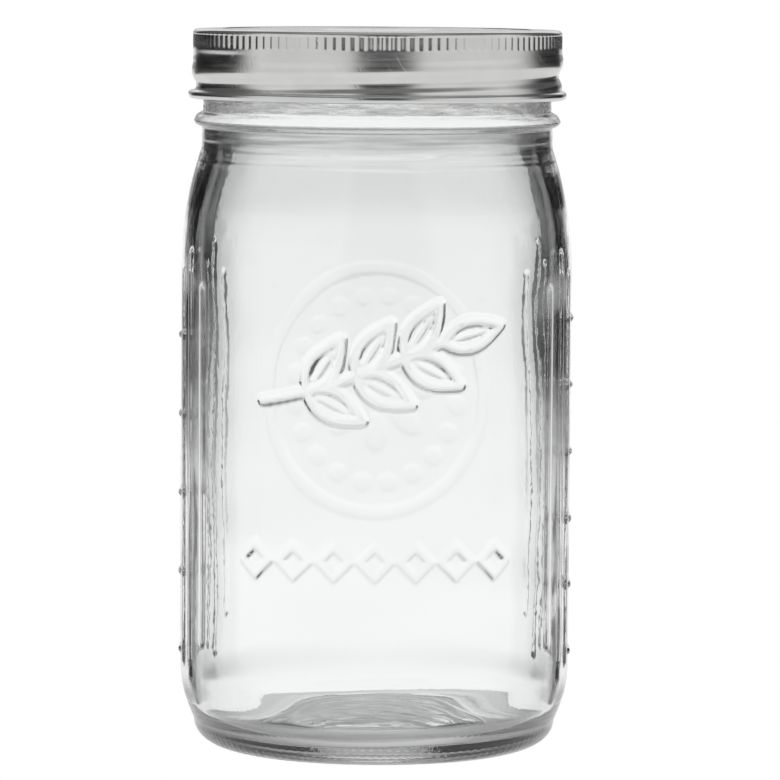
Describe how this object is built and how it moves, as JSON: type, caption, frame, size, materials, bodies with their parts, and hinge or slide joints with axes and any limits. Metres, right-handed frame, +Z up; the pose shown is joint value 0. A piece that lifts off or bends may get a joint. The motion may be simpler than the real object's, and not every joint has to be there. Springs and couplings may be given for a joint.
{
  "type": "mason jar",
  "caption": "Clear glass preserving jar, soft-square body on a round wide mouth, closed by a flat steel lid with a sealing ring and a knurled screw band.",
  "frame": {"origin": "centre of the base, on the surface the jar stands on", "axes": "+Z up along the axis of the mouth and the screw thread, -Y out of the decorated front, +X to the side with the metric graduation marks"},
  "size_m": [0.0944, 0.0944, 0.1706],
  "materials": {
    "clear_glass": "clear pressed soda-lime glass",
    "lid_steel": "satin tinplate",
    "sealing_compound": "smooth moulded compound",
    "band_tinplate": "satin tinplate with a fine brushed grain"
  },
  "bodies": {
    "jar": {"glass_jar": "clear_glass"},
    "lid": {"lid_disc": "lid_steel", "sealing_ring": "sealing_compound"},
    "band": {"screw_band": "band_tinplate"}
  },
  "joints": [
    {"name": "cap_rise", "type": "slide", "parent": "jar", "child": "lid", "axis": [0, 0, 1], "range_m": [0, 0.0204]},
    {"name": "band_turn", "type": "hinge", "parent": "lid", "child": "band", "pos_m": [0, 0, 0.162], "axis": [0, 0, 1], "range_deg": [0, 1440]}
  ],
  "couplings": [
    {"joint": "cap_rise", "follows": "band_turn", "m_per_rad": 0.00080851}
  ]
}
